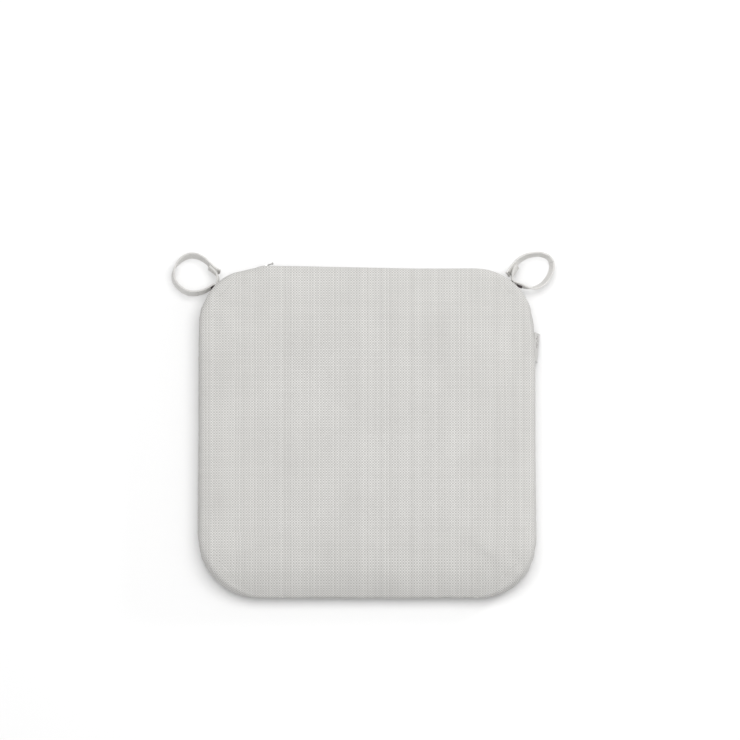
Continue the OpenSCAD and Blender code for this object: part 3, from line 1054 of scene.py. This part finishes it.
def even_curve(knots, count):
    """A smooth curve through knots (each: place, then lean), in even steps, with its direction."""
    knots = np.array(knots, float)
    ends = np.vstack([2 * knots[0] - knots[1], knots, 2 * knots[-1] - knots[-2]])
    made = []
    for a, b, c, d in zip(ends, ends[1:], ends[2:], ends[3:]):
        for u in np.arange(0, 1, 0.05):
            made.append(0.5 * (2 * b + (c - a) * u + (2 * a - 5 * b + 4 * c - d) * u ** 2
                               + (3 * b - a - 3 * c + d) * u ** 3))
    made = np.array(made + [knots[-1]])
    along = np.concatenate([[0], np.cumsum(np.linalg.norm(np.diff(made[:, :3], axis=0), axis=1))])
    at = np.linspace(0, along[-1], count)
    curve = np.stack([np.interp(at, along, made[:, k]) for k in range(made.shape[1])], axis=1)
    return np.hstack([curve, np.gradient(curve[:, :3], axis=0)]), at


def band_section(width, thick):
    """The section of a folded band: flat faces with rounded edges."""
    made = []
    for k in range(24):
        turn = 2 * math.pi * (k + 0.5) / 24
        c, s = math.cos(turn), math.sin(turn)
        made.append((math.copysign(abs(c) ** 0.35, c) * width / 2,
                     math.copysign(abs(s) ** 0.45, s) * thick / 2))
    return made


def band_frames(curve):
    """At each step of a curve: its direction, the band's upright and its outward side."""
    ahead = curve[:, 5:8] / np.linalg.norm(curve[:, 5:8], axis=1)[:, None]
    upright = np.column_stack([curve[:, 3], curve[:, 4], np.ones(len(curve))])
    upright -= ahead * np.sum(upright * ahead, axis=1)[:, None]
    upright /= np.linalg.norm(upright, axis=1)[:, None]
    return ahead, upright, np.cross(ahead, upright)


def band_piece(name, curve, at, width, thick, side_shift=0.0):
    """A band along a curve, standing on edge."""
    ahead, upright, outward = band_frames(curve)
    section = band_section(width, thick)
    points, lays = [], []
    for spot, up, out, way in zip(curve[:, :3], upright, outward, at):
        for high, off in section:
            points.append(spot + up * high + out * (off + side_shift))
            lays.append((high + (0.03 if off > 0 else 0.0), way, 0))
    size = len(section)
    faces = []
    for step in range(len(curve) - 1):
        for k in range(size):
            a, b = step * size + k, step * size + (k + 1) % size
            faces.append((a, a + size, b + size, b))
    last = (len(curve) - 1) * size
    faces += [tuple(range(size)), tuple(range(last, last + size))[::-1]]
    made = make_object(name, points, faces)
    keep_lay(made, lays)
    sides = len(made.data.polygons) - 2          # the two end faces stay flat
    made.data.polygons.foreach_set("use_smooth", [True] * sides + [False, False])
    return made


# painted light: the straps and tabs are the cover fabric, but this copy of it is painted lighter and with
# less contrast, standing in for the light the bands catch
strap_cloth_painted_lighter = woven_cloth("woven strap cloth painted lighter", (0.80, 0.79, 0.77), (0.60, 0.59, 0.57),
                          warp_pitch, weft_pitch, 0.5, 0.4, 0.0002)
hook_nylon = fleece("hook tape", (0.74, 0.73, 0.70), (0.52, 0.51, 0.49), 2600, 0.0004)
loop_nylon = fleece("loop tape", (0.74, 0.73, 0.71), (0.58, 0.57, 0.55), 1500, 0.0006)
# painted shade: this near-black tacking thread is a real bar tack, and its dark colour also stands in for
# the shade in the gap under each strap's root
tack_thread_and_painted_shade = spun_thread("dark tacking thread and painted root shade", (0.085, 0.05, 0.06), (0.03, 0.018, 0.022))

# Each knot: X, Y, Z in millimetres, then how far the band leans in X and in Y.
strap_knots = {
    "left": [(-180.2, 179.4, 17.0, 0, 0.18), (-183.6, 178.2, 17.0, 0, 0.2),
             (-189.1, 174.7, 16.6, 0, 0.22), (-195.9, 171.8, 16.0, 0, 0.26),
             (-204.6, 170.2, 15.0, 0.02, 0.3), (-213.0, 171.2, 14.2, 0.06, 0.32),
             (-220.6, 175.6, 13.4, 0.14, 0.28), (-226.6, 181.6, 12.9, 0.2, 0.24),
             (-229.9, 188.4, 12.6, 0.24, 0.22), (-230.2, 195.6, 12.5, 0.24, 0.24),
             (-227.4, 204.0, 12.6, 0.16, 0.3), (-220.4, 211.8, 12.9, 0.04, 0.36),
             (-210.8, 216.2, 13.4, 0, 0.38), (-201.0, 215.1, 14.2, 0, 0.38),
             (-192.6, 210.2, 15.0, 0, 0.34), (-186.1, 203.9, 15.6, 0, 0.30),
             (-180.2, 198.6, 16.0, 0, 0.26), (-174.4, 196.2, 16.2, 0, 0.22)],
    "right": [(173.7, 182.5, 17.0, 0.02, 0.16), (177.4, 181.8, 17.0, 0.05, 0.16),
              (183.1, 179.5, 16.6, 0.1, 0.16), (189.8, 177.2, 16.2, 0.12, -0.06),
              (196.1, 176.4, 15.6, 0.22, -0.3), (202.6, 177.8, 14.8, 0.38, -0.42),
              (209.4, 182.0, 14.0, 0.54, -0.32), (214.9, 188.6, 13.2, 0.62, -0.16),
              (218.8, 196.4, 12.6, 0.6, -0.02), (220.0, 204.8, 12.4, 0.5, 0.08),
              (216.6, 213.4, 12.6, 0.3, 0.16), (207.4, 217.7, 13.2, 0.14, 0.2),
              (198.0, 217.5, 13.8, 0.04, 0.24), (188.8, 215.1, 14.4, -0.08, 0.28),
              (180.0, 209.6, 15.0, -0.2, 0.3), (173.6, 202.0, 15.5, -0.26, 0.32),
              (167.0, 192.6, 16.0, -0.26, 0.32)],
}
tab_knots = {
    "left": [(-177.8, 181.0, 17.0, -0.06, 0.02), (-177.2, 187.2, 16.8, -0.14, 0.06),
             (-178.1, 192.2, 16.5, -0.14, 0.12), (-182.0, 196.4, 16.2, -0.06, 0.2),
             (-188.0, 201.2, 15.8, 0, 0.28)],
    "right": [(172.4, 183.8, 17.0, 0.1, 0.02), (172.6, 188.2, 16.8, 0.1, 0.08),
              (173.6, 193.4, 16.5, 0.0, 0.2), (175.9, 198.4, 16.0, -0.16, 0.28),
              (178.9, 203.0, 15.6, -0.2, 0.3)],
}
joints = {j["name"]: j for j in frame["joints"]}


def way_to_joint(curve, at, name):
    """How far along a curve it passes nearest to a joint."""
    x, y, _ = joints[name]["pos_m"]
    return at[int(np.argmin(np.hypot(curve[:, 0] - x, curve[:, 1] - y)))]


def between(curve, at, first, last):
    """The part of a curve between two ways along it, in steps of about a millimetre."""
    ways = np.linspace(first, last, max(4, int((last - first) / 0.001)))
    return np.stack([np.interp(ways, at, curve[:, k]) for k in range(curve.shape[1])], axis=1), ways


patch_l = 0.013
patch_t = 0.0010
# how high and how far the dark bar tack reaches; these also place the painted shade under each strap's root
tack_and_shade_top = {"left": 0.0044, "right": 0.0020}
tack_and_shade_span = {"left": (0.0014, 0.0062), "right": (0.0054, 0.0114)}
for side in ("left", "right"):
    knots = np.array(strap_knots[side], float)
    knots[:, :3] /= 1000
    curve, at = even_curve(knots, 121)
    open_way = way_to_joint(curve, at, side + "_strap_open")
    tail_way = way_to_joint(curve, at, side + "_tail_open")
    length = at[-1]
    cuts = (0, open_way / 2, (open_way + tail_way) / 2, length)
    bodies = ("pad", side + "_strap_base", side + "_strap_middle", side + "_strap_tail")
    names = (side + "_strap_root_length", side + "_strap_bend_length", side + "_strap_end_length")
    for k in range(3):
        part, way = between(curve, at, cuts[k], cuts[k + 1])
        made = band_piece(names[k], part, way, strap_w, strap_t)
        made.data.materials.append(strap_cloth_painted_lighter)
        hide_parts(bodies[k + 1])
        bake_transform(made)

    # the end's inner face carries the hook patch, the tab's outer face the loop patch
    _, _, outward = band_frames(curve)
    loop_middle = np.mean(curve[:, :2], axis=0)
    probe = int(len(curve) * 0.9)
    inward = -1 if np.dot(outward[probe][:2], loop_middle - curve[probe][:2]) < 0 else 1
    hook_part, hook_way = between(curve, at, length - 0.003 - patch_l, length - 0.003)
    hook = band_piece(side + "_hook_tape", hook_part, hook_way, strap_w - 0.002, patch_t,
                      inward * (strap_t + patch_t) / 2)
    hook.data.materials.append(hook_nylon)
    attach(hook, side + "_strap_tail")
    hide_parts(side + "_hook_patch")

    knots = np.array(tab_knots[side], float)
    knots[:, :3] /= 1000
    tab_curve, tab_at = even_curve(knots, 41)
    tab = band_piece(side + "_tab_band", tab_curve, tab_at, strap_w, strap_t)
    tab.data.materials.append(strap_cloth_painted_lighter)
    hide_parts(side + "_tab")
    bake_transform(tab)
    _, _, tab_out = band_frames(tab_curve)
    tab_side = -1 if np.dot(tab_out[-4][:2], curve[probe][:2] - loop_middle) < 0 else 1
    loop_part, loop_way = between(tab_curve, tab_at, tab_at[-1] - patch_l, tab_at[-1] - 0.0005)
    pile_t = patch_t * 0.7
    loop = band_piece(side + "_loop_tape", loop_part, loop_way, strap_w - 0.002, pile_t,
                      tab_side * (strap_t + pile_t) / 2)
    loop.data.materials.append(loop_nylon)
    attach(loop, side + "_tab")
    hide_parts(side + "_loop_patch")

    def frame_stitches(name, path, face, body, node):
        """A rectangle of stitches round a patch, on the face away from it."""
        _, up, out = band_frames(path)
        count = len(path)
        made, edge = [], strap_w / 2 - 0.0022
        for k in range(0, count - 2, 2):
            for high in (-edge, edge):
                ends = [path[i, :3] + up[i] * high + out[i] * face for i in (k, k + 2)]
                made.append(stitch(ends[0], ends[0] + (ends[1] - ends[0]) * 0.86, out[k] * np.sign(face)))
        for k in (0, count - 1):
            for high in np.arange(-edge, edge - 0.001, 0.0024):
                ends = [path[k, :3] + up[k] * h + out[k] * face for h in (high, high + 0.0021)]
                made.append(stitch(ends[0], ends[1], out[k] * np.sign(face)))
        stitches = make_object(name, *joined(made))
        stitches.data.materials.append(pale_thread)
        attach(stitches, body)
        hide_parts(node)

    frame_stitches(side + "_hook_tape_stitches", hook_part, -inward * strap_t / 2,
                   side + "_strap_tail", side + "_hook_stitching")
    frame_stitches(side + "_loop_tape_stitches", loop_part, -tab_side * strap_t / 2,
                   side + "_tab", side + "_loop_stitching")

    # bar tack: close upright stitches over the strap's outer face by its root, in near-black thread that is
    # partly painted shade, standing in for the shade in the gap under the root
    tack_and_shade_part, tack_and_shade_way = between(curve, at, *tack_and_shade_span[side])
    _, up, out = band_frames(tack_and_shade_part)
    bars = []
    for k in np.linspace(0, len(tack_and_shade_part) - 1, int((tack_and_shade_way[-1] - tack_and_shade_way[0]) / 0.0005)):
        spot = np.array([np.interp(k, range(len(tack_and_shade_part)), tack_and_shade_part[:, c]) for c in range(3)])
        i = int(k)
        ends = [spot + up[i] * high + out[i] * -inward * strap_t / 2
                for high in (-strap_w / 2 + 0.0005, tack_and_shade_top[side])]
        bars.append(stitch(ends[0], ends[1], out[i] * -inward, 0.00050))
    tack = make_object(side + "_root_bar_tack", *joined(bars))
    tack.data.materials.append(tack_thread_and_painted_shade)
    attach(tack, side + "_strap_base")
    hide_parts(side + "_root_tack")
